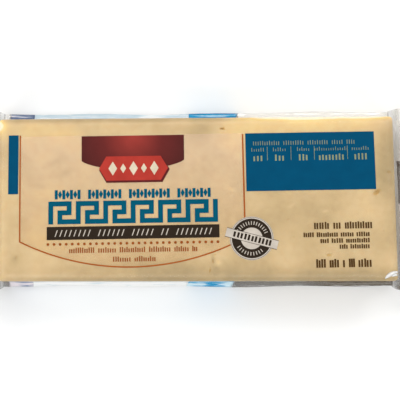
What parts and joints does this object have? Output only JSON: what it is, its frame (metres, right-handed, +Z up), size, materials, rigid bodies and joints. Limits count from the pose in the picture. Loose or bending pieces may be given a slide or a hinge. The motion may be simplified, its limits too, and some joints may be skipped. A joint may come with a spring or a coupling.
{
  "type": "packed cheddar block",
  "caption": "White cheddar block sealed tight in a clear printed film pack with crimped ends, lying on its back with the printed face up.",
  "frame": {"origin": "on the surface the pack lies on, under the middle of the pack", "axes": "+X along the pack, +Y across it, +Z up through the printed face"},
  "size_m": [0.1774, 0.0664, 0.0259],
  "materials": {
    "cheese_in_film": "creamy cheese seen through glossy clear film",
    "cheese": "smooth pressed curd, faintly marbled",
    "clear_film": "thin clear glossy film, creased at the ends",
    "teal_print": "flat teal ink under film",
    "blue_print": "bright blue ink under film",
    "maroon_print": "maroon ink fading to red in the middle",
    "brown_print": "thin brown lines and dots",
    "dark_print": "near-black ink",
    "pale_print": "warm grey and white ink"
  },
  "bodies": {
    "root": {"cheddar_pack": "cheese_in_film"}
  },
  "joints": []
}
